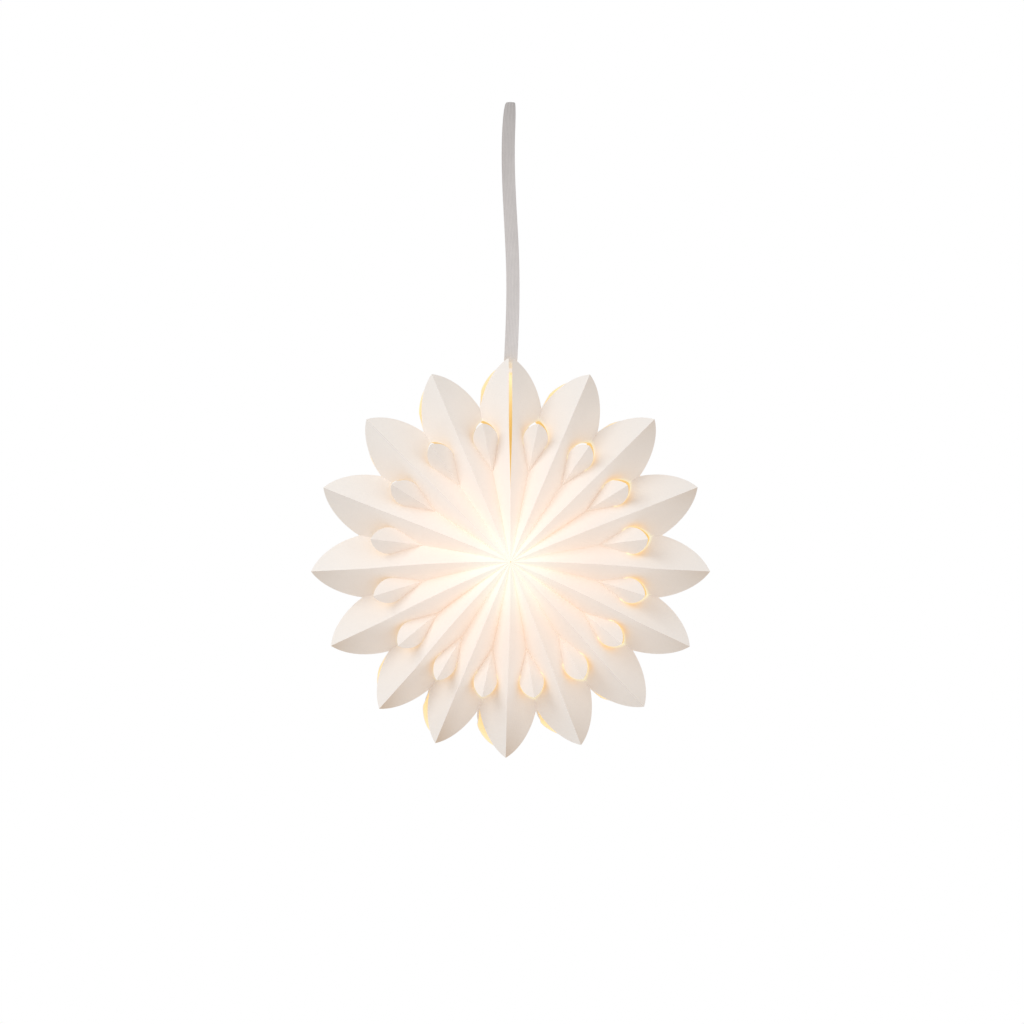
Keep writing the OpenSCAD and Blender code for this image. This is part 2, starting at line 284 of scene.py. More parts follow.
@dataclass(frozen=True)
class Finish:
    """A surface with grain, made into a material on first use.

    Attributes:
        name: The material's name.
        colour: Base colour, linear.
        roughness: Middle roughness.
        depth: How far the grain moves the colour and the roughness.
        clouds: Scale of the soft clouds.
        flecks: Scale of the fine flecks.
        stretch: Stretch of the flecks along X, Y and Z.
        bump: Height of the grain.
        metallic: 1 for bare metal.
        coat: Weight of a clear coat.
        specular: Strength of the plain reflection.
    """

    name: str
    colour: Triple
    roughness: float = 0.5
    depth: float = 0.1
    clouds: float = 60.0
    flecks: float = 1500.0
    stretch: Triple = (1.0, 1.0, 1.0)
    bump: float = 0.0001
    metallic: float = 0.0
    coat: float = 0.0
    specular: float = 0.5

    def bench(self) -> tuple[bpy.types.Material, NodeBench, bpy.types.Node]:
        """Make the material with its grain, ready for more nodes.

        Returns:
            The material, its bench and its Principled BSDF.
        """
        material = bpy.data.materials.new(self.name)
        material.use_nodes = True
        material.diffuse_color = (*self.colour, 1.0)
        bench = NodeBench(material.node_tree)
        shader = material.node_tree.nodes["Principled BSDF"]
        group = bpy.data.node_groups.get("surface_grain") or grain_group()
        grain = bench.fill(bench.add("ShaderNodeGroup", node_tree=group), {
            "Colour": (*self.colour, 1.0),
            "Depth": self.depth,
            "Roughness": self.roughness,
            "Clouds": self.clouds,
            "Flecks": self.flecks,
            "Stretch": self.stretch,
        }).outputs
        bump = bench.fill(bench.add("ShaderNodeBump"), {"Distance": self.bump, "Height": grain["Height"]})
        bench.fill(shader, {
            "Base Color": grain["Colour"],
            "Roughness": grain["Roughness"],
            "Normal": bump.outputs[0],
            "Metallic": self.metallic,
            "Coat Weight": self.coat,
            "Specular IOR Level": self.specular,
        })
        return material, bench, shader

    def make(self) -> bpy.types.Material:
        """Make the finish's material."""
        return self.bench()[0]

    def material(self) -> bpy.types.Material:
        """Return the finish's material, made on first use."""
        return bpy.data.materials.get(self.name) or self.make()


@dataclass(frozen=True)
class LitPaper(Finish):
    """Paper that glows from the lamp behind or in front of it.

    With L the light that reaches the sheet, the glow's strength is 1 - exp(-L / saturation), and
    its colour goes from warm to bright between the two values of L in light_tones. Two attributes,
    0 to 1, tell where more light comes: beside a hole or along the rim, where that light is also
    painted into the paper's colour, and on a hole's cut edge. The attribute tip_shade darkens the
    outer face with painted shade.

    Attributes:
        lamp: The middle of the light unit.
        facing: 1 for the outer face, lit through, and -1 for the inner face.
        soft: Share of the light that comes from all sides.
        near: Distance from the lamp at which the light has its full strength.
        falloff: Power by which the light fades with distance.
        strength: Strength of the glow at full light.
        saturation: Light at which the glow has reached most of its strength.
        warm: Colour of faint light.
        bright: Colour of full light.
        light_tones: Light at which the colour starts to change and at which it has changed.
        leak_layer: The attribute that gives the first of these.
        leak: Colour of its glow.
        painted_light_tint: What it multiplies the paper's colour by there, as painted light.
        leak_edge: Colour of the glow on a hole's edge.
        shade: What the tip shade multiplies the paper's colour by.
    """

    lamp: Triple = (0.0, 0.0, 0.0)
    facing: float = 1.0
    soft: float = 0.8
    near: float = 0.036
    falloff: float = 2.4
    strength: float = 0.225
    saturation: float = 0.13
    warm: Triple = (1.0, 0.54, 0.27)
    bright: Triple = (1.0, 0.94, 0.66)
    light_tones: tuple[float, float] = (0.25, 1.0)
    leak_layer: str = "hole_glow"
    leak: Triple = (0.85, 0.30, 0.02)
    # Painted light and shade: beside a hole the outer face turns orange and darker, for the light from
    # the hole and the tongue's shade.
    painted_light_tint: Triple = (1.0, 0.86, 0.60)
    leak_edge: Triple = (1.1, 1.35, 0.55)
    shade: Triple = (0.74, 0.61, 0.49)

    def make(self) -> bpy.types.Material:
        """Make the finish's material, with its glow."""
        material, bench, shader = self.bench()
        group = bpy.data.node_groups.get("lamp_reach") or lamp_reach_group()
        light = bench.fill(bench.add("ShaderNodeGroup", node_tree=group), {
            "Lamp": self.lamp,
            "Facing": self.facing,
            "Soft": self.soft,
            "Near": self.near,
            "Falloff": self.falloff,
        }).outputs["Light"]
        faded = bench.math("EXPONENT", bench.math("MULTIPLY", light, -1 / self.saturation))
        tone = bench.ramp(light, *self.light_tones, 0.0, 1.0)
        total = bench.scale(bench.mix(tone, (*self.warm, 1.0), (*self.bright, 1.0)),
                            bench.math("SUBTRACT", 1.0, faded))
        beside, edge, tip = map(bench.layer, (self.leak_layer, "hole_edge", "tip_shade"))
        for share, tint in ((beside, self.leak), (edge, self.leak_edge)):
            total = bench.vector("ADD", total, bench.scale(tint, share)).outputs[0]
        base = shader.inputs["Base Color"].links[0].from_socket
        # Painted light beside a hole and painted shade at the tip, multiplied into the paper's colour.
        for share, painted_tint in ((beside, self.painted_light_tint), (tip, self.shade)):
            base = bench.mix(share, base, bench.vector("MULTIPLY", base, painted_tint).outputs[0])
        bench.fill(shader, {"Base Color": base, "Emission Color": total,
                            "Emission Strength": self.strength})
        return material


@dataclass(frozen=True)
class WovenRibbon(Finish):
    """Flat woven ribbon: warp ribs along it and fine weft threads across, on its own UV map.

    Its brightness along it is painted light: darker at the bend at its top, which is the middle of its
    length, and brighter towards the ends, where the star's light falls.

    Attributes:
        ribs: Warp ribs across the width.
        threads: Weft threads along the whole length.
        thread_height: Height of a thread.
        heights: Share of the warp and of the weft in the cloth's height.
        painted_weave_shade: Brightness in the lowest and on the highest places of the weave: painted
            shade in its hollows and painted light on its tops.
        light_tones: Painted light along the ribbon: brightness at the bend, how much is added at the
            ends, and the power by which.
        sheen: Weight of the cloth's sheen.
        tail_glow: Light from the star on the ends inside it.
        tail_share: Share of the way from bend to end at which that light starts and is full.
    """

    ribs: float = 9.0
    threads: float = 1100.0
    thread_height: float = 0.00012
    heights: tuple[float, float] = (0.6, 0.4)
    painted_weave_shade: tuple[float, float] = (0.86, 1.06)
    light_tones: Triple = (0.80, 0.40, 0.75)
    sheen: float = 0.25
    tail_glow: Triple = (0.22, 0.21, 0.18)
    tail_share: tuple[float, float] = (0.972, 0.984)

    def make(self) -> bpy.types.Material:
        """Make the finish's material, woven from two waves on the UV map."""
        material, bench, shader = self.bench()
        place = bench.add("ShaderNodeUVMap", uv_map="weave").outputs[0]
        across, along, _ = bench.add("ShaderNodeSeparateXYZ", place).outputs
        warp = bench.math("SINE", bench.math("MULTIPLY", across, 2 * math.pi * self.ribs))
        half_turn = bench.math("MULTIPLY", across, math.pi * self.ribs)
        weft = bench.math("SINE", bench.math("ADD", half_turn,
                                             bench.math("MULTIPLY", along, 2 * math.pi * self.threads)))
        height = bench.math("ADD", bench.math("MULTIPLY", warp, self.heights[0]),
                            bench.math("MULTIPLY", weft, self.heights[1]))
        from_top = bench.math("ABSOLUTE", bench.math("SUBTRACT", bench.math("MULTIPLY", along, 2.0), 1.0))
        # Painted light: darker at the bend and brighter towards the ends, where the star's light falls on
        # the strands.
        top, added, power = self.light_tones
        tone = bench.math("ADD", bench.math("MULTIPLY", bench.math("POWER", from_top, power), added), top)
        # Painted shade in the weave's hollows and painted light on its tops, times the painted light
        # along the ribbon.
        shade = bench.math("MULTIPLY", bench.ramp(height, -1.0, 1.0, *self.painted_weave_shade), tone)
        base = shader.inputs["Base Color"].links[0].from_socket
        lit = bench.ramp(from_top, *self.tail_share, 0.0, 1.0)
        bench.fill(shader, {
            "Base Color": bench.scale(base, shade),
            "Emission Color": bench.scale(self.tail_glow, lit),
            "Emission Strength": 1.0,
            "Sheen Weight": self.sheen,
        })
        bump = shader.inputs["Normal"].links[0].from_node
        bench.fill(bump, {"Distance": self.thread_height, "Height": height})
        return material


@dataclass(frozen=True)
class FadingFloor(Finish):
    """A floor that fades away towards its rim.

    Attributes:
        fade: Distances from the floor's middle at which it starts to fade and is gone.
    """

    fade: tuple[float, float] = (0.10, 0.60)

    def make(self) -> bpy.types.Material:
        """Make the finish's material, its alpha falling with the distance from the middle."""
        material, bench, shader = self.bench()
        place = bench.add("ShaderNodeTexCoord").outputs["Object"]
        level = bench.vector("MULTIPLY", place, (1.0, 1.0, 0.0)).outputs[0]
        away = bench.vector("LENGTH", level).outputs["Value"]
        bench.fill(shader, {"Alpha": bench.ramp(away, *self.fade, 1.0, 0.0)})
        return material


@dataclass(frozen=True)
class GlowingFinish(Finish):
    """A finish that also gives off light: on the LEDs their own light, on the case and the battery cover
    painted light from the LEDs.

    Attributes:
        glow: Colour of the light.
        strength: Its strength.
    """

    glow: Triple = (1.0, 0.72, 0.36)
    strength: float = 1.0

    def make(self) -> bpy.types.Material:
        """Make the finish's material, its glow mottled by the grain."""
        material, bench, shader = self.bench()
        base = shader.inputs["Base Color"].links[0].from_socket
        tinted = bench.vector("MULTIPLY", base, self.glow).outputs[0]
        bench.fill(shader, {"Emission Color": tinted, "Emission Strength": self.strength})
        return material


# ---------------------------------------------------------------- meshes


def way(value: Grid, start: float, end: float) -> Grid:
    """Return how far a value has gone from start to end, held between 0 and 1.

    Args:
        value: The values.
        start: Where the way starts.
        end: Where it ends.
    """
    return np.clip((value - start) / (end - start), 0, 1)


def grid_quads(rows: int, columns: int, first: int = 0, flip: bool = False) -> Grid:
    """Return the quads of a grid of points that are counted row by row.

    Args:
        rows: Points along the first parameter.
        columns: Points along the second parameter.
        first: Index of the grid's first point.
        flip: Whether the faces turn the other way.
    """
    index = np.arange(rows * columns).reshape(rows, columns) + first
    corners = [index[:-1, :-1], index[1:, :-1], index[1:, 1:], index[:-1, 1:]]
    return np.stack(corners[::-1] if flip else corners, -1).reshape(-1, 4)


def read(items: bpy.types.bpy_prop_collection, label: str, kind: type = np.int32) -> Grid:
    """Return a value of each of a mesh's items.

    Args:
        items: The corners, the faces or the values of an attribute.
        label: The value's name.
        kind: Its type.
    """
    values = np.empty(len(items), kind)
    items.foreach_get(label, values)
    return values


def add_object(name: str, data: bpy.types.ID) -> bpy.types.Object:
    """Make an object of its data at the origin, in the scene.

    Args:
        name: The object's name.
        data: Its mesh, camera or lamp.
    """
    thing = bpy.data.objects.new(name, data)
    bpy.context.scene.collection.objects.link(thing)
    return thing


def mesh_piece(name: str, points: Grid, quads: Grid, attributes: dict[str, Grid] | None = None,
               uv: Grid | None = None, merge: float = 2e-6) -> bpy.types.Object:
    """Make an object at the origin from points and quads, with its doubled points merged.

    Args:
        name: The object's name.
        points: Its points, one row each.
        quads: Its faces, four point numbers each.
        attributes: A number per point for each named attribute.
        uv: A place on the UV map per point.
        merge: Points closer than this become one.

    Returns:
        The new object.
    """
    _, kept, renamed = np.unique(np.round(points / merge).astype(np.int64), axis=0,
                                 return_index=True, return_inverse=True)
    quads = renamed.reshape(-1)[quads]
    mesh = bpy.data.meshes.new(name)
    # A quad with two neighbouring corners in one place becomes a triangle.
    following = np.roll(quads, -1, axis=1) == quads
    whole = quads[~following.any(axis=1)]
    corner = quads[following.sum(axis=1) == 1]
    keep = ~following[following.sum(axis=1) == 1]
    thirds = corner[keep].reshape(-1, 3)
    mesh.from_pydata(points[kept], [], whole.tolist() + thirds.tolist())
    for label, values in (attributes or {}).items():
        layer = mesh.attributes.new(label, "FLOAT", "POINT")
        layer.data.foreach_set("value", values[kept].astype(np.float32))
    if uv is not None:
        corners = read(mesh.loops, "vertex_index")
        mesh.uv_layers.new(name="weave").data.foreach_set("uv", uv[kept][corners].reshape(-1))
    mesh.polygons.foreach_set("use_smooth", np.ones(len(mesh.polygons), bool))
    mesh.update()
    return add_object(name, mesh)


def thicken(piece: bpy.types.Object, thickness: float, offset: float, inner_slot: int = 0,
            thin: Grid | None = None, thin_share: float = 0.04, sharp_deg: float = 28.0) -> None:
    """Give a sheet its thickness and sharpen its folds.

    Args:
        piece: An open sheet whose faces point outwards.
        thickness: The paper's or the cloth's thickness.
        offset: -1 to grow inwards and 0 to grow both ways.
        inner_slot: Material slot of the inner face.
        thin: Points where the sheet tapers to almost nothing, as along a mitred fold.
        thin_share: Share of the thickness that is left there.
        sharp_deg: Folds above this angle stay sharp.
    """
    solid = piece.modifiers.new("thickness", "SOLIDIFY")
    solid.thickness = thickness
    solid.offset = offset
    solid.material_offset = inner_slot
    if thin is not None:
        group = piece.vertex_groups.new(name="full")
        group.add(np.flatnonzero(~thin).tolist(), 1.0, "REPLACE")
        solid.vertex_group = group.name
        solid.thickness_vertex_group = thin_share
    graph = bpy.context.evaluated_depsgraph_get()
    mesh = bpy.data.meshes.new_from_object(piece.evaluated_get(graph), preserve_all_data_layers=True,
                                           depsgraph=graph)
    piece.modifiers.clear()
    piece.vertex_groups.clear()
    piece.data = mesh
    mesh.set_sharp_from_angle(angle=math.radians(sharp_deg))


def finish_piece(piece: bpy.types.Object, body: Body, slot: str, *nodes: str) -> None:
    """Put a piece on its body, in place of its CAD nodes, and report it.

    Args:
        piece: The finished piece.
        body: The body that it rides on.
        slot: The record's material slot; not used.
        nodes: The CAD nodes that it stands for.
    """
    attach(piece, body.value)
    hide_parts(*nodes)
    log.info("%s: %d faces on %s", piece.name, len(piece.data.polygons), body.value)


# ---------------------------------------------------------------- the star


@dataclass
class FoldPlan:
    """Sizes of the star and the plan of one sheet, which spans one valley.

    Attributes:
        petal_count: Petals round the star.
        tip_radius: From the axis to a petal's tip.
        notch_radius: From the axis to the notch between two petals.
        tip_half: Half the depth between front and back tips.
        hub_half: Half the depth between front and back hub.
        petal_bulge: Bulge of a petal's edge.
        thickness: Thickness of the paper.
        hub_hole_r: Radius of the hole where all folds meet.
        tongue_root: From the axis to a tongue's root.
        crease_deg: Angle between a tongue's crease and the fold line, in the flat sheet.
        tongue_width: Width of a tongue's round end, seen from the front.
    """

    petal_count: int = 16
    tip_radius: float = 0.150
    notch_radius: float = 0.1173
    tip_half: float = 0.024
    hub_half: float = 0.036
    petal_bulge: float = 0.0065
    thickness: float = 0.0003
    hub_hole_r: float = 0.0004
    tongue_root: float = 0.0676
    crease_deg: float = 33.9
    tongue_width: float = 0.0188

    def __post_init__(self) -> None:
        """Work out the slopes of the folds and the corners of the flat sheet."""
        half_pitch = math.pi / self.petal_count
        self.slope = math.atan(self.hub_half / self.notch_radius)
        out = self.tip_radius * math.cos(half_pitch)
        over = self.tip_radius * math.sin(half_pitch)
        down = self.tip_half - self.hub_half
        rise = out * math.sin(self.slope) + down * math.cos(self.slope)
        self.tip = np.array([out * math.cos(self.slope) - down * math.sin(self.slope),
                             math.hypot(over, rise)])
        self.tilt = math.atan2(rise, over)
        self.wall_normal = np.array([math.sin(self.slope) * math.cos(self.tilt), -math.sin(self.tilt),
                                     math.cos(self.slope) * math.cos(self.tilt)])
        self.notch = np.array([math.hypot(self.notch_radius, self.hub_half), 0.0])
        self.root_u = self.tongue_root / math.cos(self.slope)
        crease = math.radians(self.crease_deg)
        self.crease_plane = math.atan(math.tan(crease) * math.sin(self.tilt))
        self.along_out = math.cos(2 * self.crease_plane - self.slope)
        lean = self.slope - self.crease_plane
        self.off_out = math.sin(self.tilt) * (
            math.sin(self.slope) - 2 * math.cos(self.crease_plane) * math.sin(lean))
        self.spread = math.atan2(math.cos(self.tilt) * math.sin(crease),
                                 self.along_out * math.cos(crease) + self.off_out * math.sin(crease))

    def to_space(self, flat: Grid) -> Grid:
        """Fold flat points up into the valley.

        A point (u, v) goes to u along the fold line and |v| up one of its two walls: with slope s
        and tilt t, x = u cos s + |v| sin t sin s, y = v cos t, z = hub - u sin s + |v| sin t cos s.

        Args:
            flat: Points (u, v) of the flat sheet, v below 0 on the second wall.

        Returns:
            Points in the sheet's own frame: X along the valley, Z towards the viewer.
        """
        u, v = flat[..., 0], flat[..., 1]
        rise = np.abs(v) * math.sin(self.tilt)
        return np.stack([
            u * math.cos(self.slope) + rise * math.sin(self.slope),
            v * math.cos(self.tilt),
            self.hub_half - u * math.sin(self.slope) + rise * math.cos(self.slope),
        ], -1)

    def fold_out(self, points: Grid) -> Grid:
        """Mirror the tongue's points in the plane of its two creases.

        Args:
            points: Points in the sheet's own frame.
        """
        lean = self.slope - self.crease_plane
        normal = np.array([math.sin(lean), 0.0, math.cos(lean)])
        root = np.array([self.tongue_root, 0.0, self.hub_half - self.tongue_root * math.tan(self.slope)])
        return points - 2 * ((points - root) @ normal)[..., None] * normal


@dataclass
class SheetGrid:
    """The grid of one sheet's half.

    Attributes:
        plan: The sheet's plan.
        inner_cells: Cells along the fold line from the hub to the hole.
        crease_cells: Cells along the tongue's crease.
        round_cells: Cells along the curve of the tongue's end.
        outer_cells: Cells along the fold line from the hole to the notch.
        wall_cells: Cells across a wall.
        tongue_cells: Cells across half the tongue.
        ridge_stops: Shares of the ridge that lie opposite the ends of these stretches.
        bulge_start: Share of the way to the rim at which the rim's bulge starts.
    """

    plan: FoldPlan
    inner_cells: int = 16
    crease_cells: int = 8
    round_cells: int = 16
    outer_cells: int = 4
    wall_cells: int = 14
    tongue_cells: int = 7
    ridge_stops: tuple[float, ...] = (0.0, 0.46, 0.60, 0.87, 1.0)
    bulge_start: float = 0.60

    def hole_edge(self) -> Grid:
        """Return the tongue's outline: the straight crease, then the curve of its end.

        Seen from the front, the end is an arc of radius r round a point at r / sin(spread) from the
        root. A point (X, Y) of it lies at v = Y / cos(tilt) and u = (X - off_out v) / along_out.
        """
        plan = self.plan
        r = plan.tongue_width / 2
        turn = np.linspace(math.pi / 2 + plan.spread, 0, self.round_cells + 1)
        off = r * np.sin(turn) / math.cos(plan.tilt)
        along = (r / math.sin(plan.spread) + r * np.cos(turn) - plan.off_out * off) / plan.along_out
        end = np.stack([plan.root_u + along, off], -1)
        end[-1, 1] = 0.0
        root = np.array([plan.root_u, 0.0])
        crease = root + np.linspace(0, 1, self.crease_cells + 1)[:-1, None] * (end[0] - root)
        return np.concatenate([crease, end])

    def wall(self) -> tuple[Grid, Grid, Grid]:
        """Lay out one wall between the fold line, round the hole, and the ridge.

        A patch with four edges: lower edge L(t) along fold line and hole, upper edge U(t) along the
        ridge, and at the outer end the petal's edge E(s), an arc from notch to tip. A point is
        (1 - s) L + s U plus a share of the arc's bulge that grows with the square of t.

        Returns:
            The flat points by (t, s), and the parameters t and s.
        """
        plan = self.plan
        inner = np.linspace(plan.hub_hole_r, plan.root_u, self.inner_cells + 1)[:-1]
        hole = self.hole_edge()
        outer = np.linspace(hole[-1, 0], plan.notch[0], self.outer_cells + 1)[1:]
        lower = np.concatenate([np.stack([inner, 0 * inner], -1), hole, np.stack([outer, 0 * outer], -1)])
        cells = (self.inner_cells, self.crease_cells, self.round_cells, self.outer_cells)
        share = np.interp(np.arange(len(lower)), np.cumsum([0, *cells]), self.ridge_stops)
        start = plan.tip / np.linalg.norm(plan.tip) * plan.hub_hole_r
        upper = start + share[:, None] * (plan.tip - start)
        s = np.linspace(0, 1, self.wall_cells + 1)
        chord = plan.tip - plan.notch
        out = np.array([chord[1], -chord[0]]) / np.linalg.norm(chord)
        radius = (chord @ chord) / (8 * plan.petal_bulge) + plan.petal_bulge / 2
        from_middle = (s - 0.5) * np.linalg.norm(chord)
        bulge = np.sqrt(radius ** 2 - from_middle ** 2) - (radius - plan.petal_bulge)
        weight = way(share, self.bulge_start, 1) ** 2
        flat = ((1 - s)[None, :, None] * lower[:, None] + s[None, :, None] * upper[:, None]
                + weight[:, None, None] * bulge[None, :, None] * out)
        return flat, share, s

    def tongue(self) -> Grid:
        """Lay out half the tongue, straight across from its middle line to its outline."""
        edge = self.hole_edge()
        across = np.linspace(0, 1, self.tongue_cells + 1)[None, :, None]
        middle = edge * [1, 0]
        return (1 - across) * middle[:, None] + across * edge[:, None]


@dataclass(frozen=True)
class Swing:
    """A value that is highest on one side of the star and lowest opposite.

    Attributes:
        side_deg: Direction of that side in the star's plane, from the right by way of the top.
        middle: The value halfway round.
        change: How far it rises and falls.
    """

    side_deg: float
    middle: float
    change: float

    def at(self, angle: float) -> float:
        """Return the value in one direction.

        Args:
            angle: The direction, in radians.
        """
        return self.middle + self.change * math.cos(angle - math.radians(self.side_deg))


@dataclass
class PaperStar:
    """All 32 paper sheets of the star.

    Attributes:
        lamp_drop: From the star's axis down to the middle of the light.
        hang_height: From the top of the loop down to the star's axis.
        seam_gap: Width of the open seam in the top petal's ridge.
        seam_root: Distance from the axis at which the seam closes.
        seam_full: Distance from the axis at which it has its full width.
        mouth: Width of the seam at the petal's tip, where the ribbon goes in.
        mouth_length: Length of that mouth.
        seam_spread: Share of the distance from the axis over which the walls beside it give way.
        turns_deg: How far each petal is turned from its even place, clockwise from the top.
        turn_gain: Where, as 1 / gain of the tip radius, a petal has its whole turn.
        stretch: Share by which the top petals are longer and the bottom ones shorter.
        back_shift: How far the back petals lean to the left.
        lean_depth: Depth behind the middle plane at which they lean that far.
        lean_fade: Share by which the top one leans less and the bottom one more.
        lean_side: How much less the rightmost and the leftmost petal lean.
        bow: How far a wall bows out between fold line and ridge.
        bow_change: Share by which the bow differs from sheet to sheet.
        bow_step: Step, in radians, of the sine that this difference follows.
        bow_power: Power that moves the bow's highest place along the wall.
        reach: How far a front tongue's end uncurls over its hole, how much more on the left, and
            how far a back tongue's end does.
        uncurl: Power by which the uncurling grows along the end.
        leak: Light beside a hole, round the star.
        leak_reach: Distance from the hole at which it has faded.
        shoulder: Middle and half width of its strongest stretch along the hole's curved edge.
        edge: Light on a hole's edge, round the star.
        edge_reach: Distance at which that has faded.
        rim_power: Power by which the light on the inside grows towards a petal's rim.
        tip: Shade at a petal's tip, round the star.
        tip_start: Share of the way to the tip at which it starts.
        tip_powers: Powers by which it grows towards the tip and towards the ridge.
        shade_side_deg: Direction in the star's plane to which shaded walls face.
        wall_turn_deg: How far a wall faces to the side of its petal.
    """

    plan: FoldPlan
    lamp_drop: float = 0.005
    hang_height: float = 0.351
    seam_gap: float = 0.0024
    seam_root: float = 0.050
    seam_full: float = 0.108
    mouth: float = 0.003
    mouth_length: float = 0.008
    seam_spread: float = 0.19
    turns_deg: tuple[float, ...] = (0, -0.5, -0.4, -0.9, -2.9, -2.9, -2.4, -1.5,
                                    -1.4, 0, 3.3, 2.7, 2.9, 1.0, 0.4, 0.3)
    turn_gain: float = 1.4
    stretch: float = 0.017
    back_shift: float = 0.0046
    lean_depth: float = 0.004
    lean_fade: float = 0.28
    lean_side: tuple[float, float] = (1.0, 1.4)
    bow: float = 0.0006
    bow_change: float = 0.8
    bow_step: float = 2.3
    bow_power: float = 0.8
    reach: Triple = (0.0013, 0.0019, 0.0040)
    uncurl: float = 1.2
    leak: Swing = Swing(-30, 0.55, 0.45)
    leak_reach: float = 0.0045
    shoulder: tuple[float, float] = (0.38, 0.26)
    edge: Swing = Swing(-20, 0.45, 0.40)
    edge_reach: float = 0.0009
    rim_power: float = 6.0
    tip: Swing = Swing(-90, 0.65, 0.35)
    tip_start: float = 0.66
    tip_powers: tuple[float, float] = (1.3, 1.5)
    shade_side_deg: float = -45.0
    wall_turn_deg: float = 68.0
    pieces: list[bpy.types.Object] = field(default_factory=list)

    @property
    def lamp(self) -> Triple:
        """Return the middle of the light inside the star."""
        return (0.0, 0.0, -self.hang_height - self.lamp_drop)

    def finishes(self) -> tuple[Finish, Finish]:
        """Return the outer and the inner finish of the paper."""
        paper = {"roughness": 0.8, "depth": 0.05, "clouds": 45.0, "flecks": 900.0, "bump": 0.00012,
                 "specular": 0.25, "lamp": self.lamp}
        outer = LitPaper("lit_paper_outer", (0.87, 0.835, 0.795), **paper)
        # The inner face is the same paper as the outer one: its yellow colour is painted warm light from
        # the lamp, and its brighter, bluer tint along the rim is painted light coming in past the petals'
        # edges.
        inner = LitPaper("lit_paper_inner", (0.80, 0.68, 0.44), **paper, facing=-1.0, soft=0.6,
                         strength=0.28, near=0.100, falloff=1.5, saturation=0.70, light_tones=(0.4, 1.4),
                         warm=(1.0, 0.62, 0.02), bright=(1.0, 0.70, 0.10), leak_layer="rim_glow",
                         leak=(0.9, 0.80, 0.60), painted_light_tint=(1.08, 1.14, 1.4),
                         leak_edge=(0.0, 0.0, 0.0), shade=(1.0, 1.0, 1.0))
        return outer, inner

    def warp(self, points: Grid) -> Grid:
        """Bring even points of the star to their places in this hand-folded one.

        In the star's plane, the angle moves by the petals' turns, joined by a smooth curve round
        the star and growing from 0 at the hub; the radius grows by the stretch times the sine of
        the angle; and within lean_depth behind the middle plane X comes to move by the back shift,
        less towards the star's top and right side and still less towards its left.

        Args:
            points: Points with X to the right, Y up and Z towards the viewer.
        """
        x, y, z = points[..., 0], points[..., 1], points[..., 2]
        radius, angle = np.hypot(x, y), np.arctan2(y, x)
        count = self.plan.petal_count
        place = ((math.pi / 2 - angle) / (2 * math.pi) * count) % count
        turns = np.radians(np.array(self.turns_deg))
        turn = np.interp(place, np.arange(count + 1), np.append(turns, turns[0]))
        out = radius / self.plan.tip_radius
        angle = angle + turn * np.clip(out * self.turn_gain, 0, 1)
        radius = radius * (1 + self.stretch * np.sin(angle) * out)
        x, y = radius * np.cos(angle), radius * np.sin(angle)
        side = np.clip(x / self.plan.tip_radius, -1, 1)
        lean = np.clip(-z / self.lean_depth, 0, 1) * (1 - np.where(side > 0, *self.lean_side) * side ** 2)
        lean = lean * (1 - self.lean_fade * y / self.plan.tip_radius)
        return np.stack([x - self.back_shift * lean, y, z], -1)

    def open_seam(self, points: Grid) -> Grid:
        """Draw the two walls of the top ridge apart.

        Each point beside the top ridge moves away from it by half the gap, which rises smoothly
        from 0 at the seam's root and again in the mouth, times the point's nearness to the ridge.

        Args:
            points: Points with X to the right, Y up and Z towards the viewer.
        """
        x, y = points[..., 0], points[..., 1]
        open_share = way(y, self.seam_root, self.seam_full)
        gap = self.seam_gap * open_share * open_share * (3 - 2 * open_share)
        last = np.clip((y - self.plan.tip_radius) / self.mouth_length + 1, 0, 1)
        gap = (gap + (self.mouth - self.seam_gap) * last ** 2) / 2
        near = np.clip(1 - np.abs(x) / (self.seam_spread * np.maximum(y, 1e-6)), 0, 1)
        moved = points.copy()
        moved[..., 0] = x + np.where(x >= 0, 1, -1) * gap * near * (y > 0)
        return moved

    def build_sheet(self, side: Side, number: int) -> bpy.types.Object:
        """Make one sheet.

        Args:
            side: The half of the star that it belongs to.
            number: Its number, clockwise from the seam as the viewer sees it.

        Returns:
            The sheet, with its thickness.
        """
        plan, layout = self.plan, SheetGrid(self.plan)
        angle = math.radians(90 + 180 / plan.petal_count - number * 360 / plan.petal_count)
        flat, along, across = layout.wall()
        bow = self.bow * (1 + self.bow_change * math.sin(self.bow_step * number + side.value))
        outwards = np.sin(math.pi * along ** self.bow_power)
        lift = bow * np.sin(math.pi * across)[None, :] * outwards[:, None]
        wall = plan.to_space(flat) + lift[..., None] * plan.wall_normal
        tongue = self.uncurled(plan.fold_out(plan.to_space(layout.tongue())), layout, side, angle)
        on_tongue = np.zeros((len(LAYERS), *tongue.shape[:2]))
        on_tongue[LAYERS.index("tongue")] = 1.0
        points, quads, values = [], [], []
        for patch in (wall, tongue):
            for hand in (1, -1):
                painted = (self.painted(layout, flat, along, across, angle, hand) if patch is wall
                           else on_tongue)
                quads.append(grid_quads(*patch.shape[:2], first=sum(map(len, points)), flip=hand < 0))
                points.append((patch * [1, hand, 1]).reshape(-1, 3))
                values.append(painted.reshape(len(LAYERS), -1))
        turned = np.concatenate(points) @ np.array([
            [math.cos(angle), math.sin(angle), 0],
            [-math.sin(angle), math.cos(angle), 0],
            [0, 0, 1],
        ])
        turned[:, 2] *= side.value
        if number in (1, plan.petal_count):
            turned = self.open_seam(turned)
        placed = self.warp(turned)
        world = np.stack([placed[:, 0], -placed[:, 2], placed[:, 1] - self.hang_height], -1)
        faces = np.concatenate(quads)
